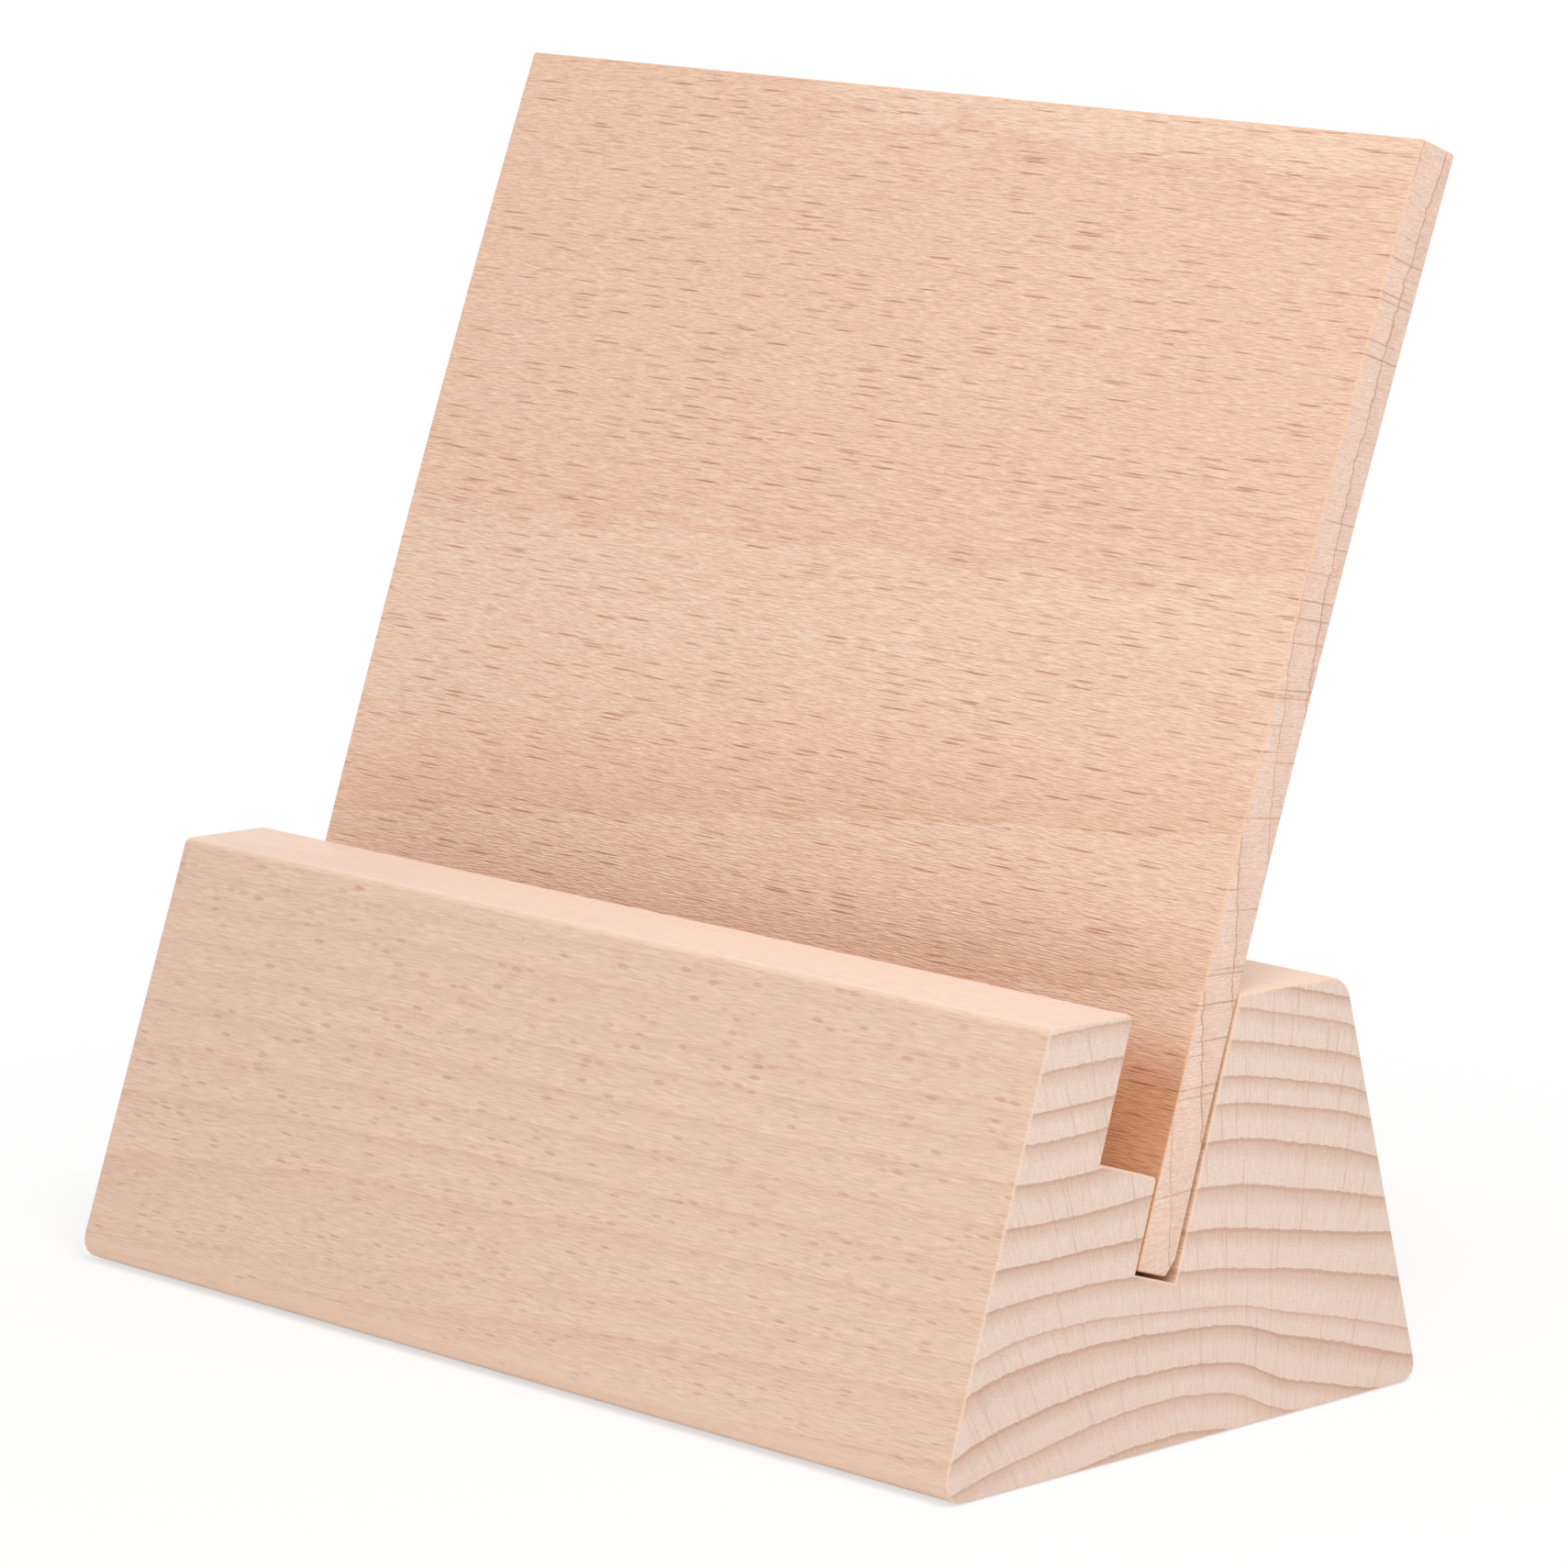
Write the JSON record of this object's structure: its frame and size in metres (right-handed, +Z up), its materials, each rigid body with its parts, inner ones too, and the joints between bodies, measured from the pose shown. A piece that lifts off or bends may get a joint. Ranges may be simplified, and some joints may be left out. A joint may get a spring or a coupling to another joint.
{
  "type": "photo block holder",
  "caption": "Solid wooden block with a leaning slot; a thin lift-out board stands in the slot and backs prints that rest on the ledge in front of it.",
  "frame": {"origin": "centre of the block's underside", "axes": "+X along the slot and the block's width, -Y towards the viewer, +Z up"},
  "size_m": [0.12, 0.0641, 0.115],
  "materials": {
    "block_beech": "bare sanded beech, matt",
    "board_beech": "bare planed beech, matt"
  },
  "bodies": {
    "block": {"base_block": "block_beech"},
    "board": {"back_board": "board_beech"}
  },
  "joints": [
    {"name": "board_lift", "type": "slide", "parent": "block", "child": "board", "axis": [0, 0.3206, 0.9472], "range_m": [0, 0.03]}
  ]
}
